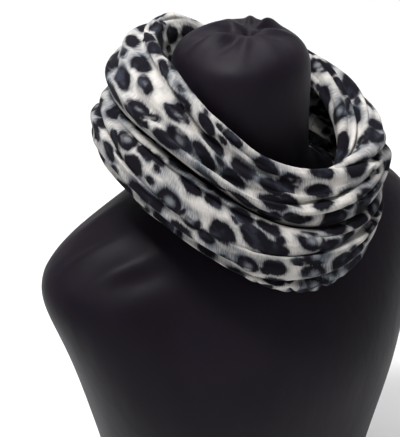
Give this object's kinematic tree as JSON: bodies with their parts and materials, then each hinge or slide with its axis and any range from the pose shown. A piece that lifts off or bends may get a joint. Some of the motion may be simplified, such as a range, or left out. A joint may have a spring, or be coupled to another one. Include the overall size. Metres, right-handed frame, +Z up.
{
  "type": "infinity scarf on dress form",
  "caption": "Infinity scarf of soft leopard-spotted knit, wound in folds round the neck of a limbless dress form that stands on its flat base",
  "frame": {"origin": "the middle of the flat base that the form stands on", "axes": "+Z up the neck, -Y out of the form's front, +X to the right of a viewer who faces the form's front"},
  "size_m": [0.372, 0.236, 0.5125],
  "materials": {
    "scarf_cloth": "soft matte knit, printed with a common leopard spot",
    "form_cover": "near-black jersey with a low satin sheen"
  },
  "bodies": {
    "root": {"dress_form": "form_cover", "upper_turn": "scarf_cloth", "lower_turn": "scarf_cloth", "crossing_over": "scarf_cloth", "crossing_under": "scarf_cloth"}
  },
  "joints": []
}
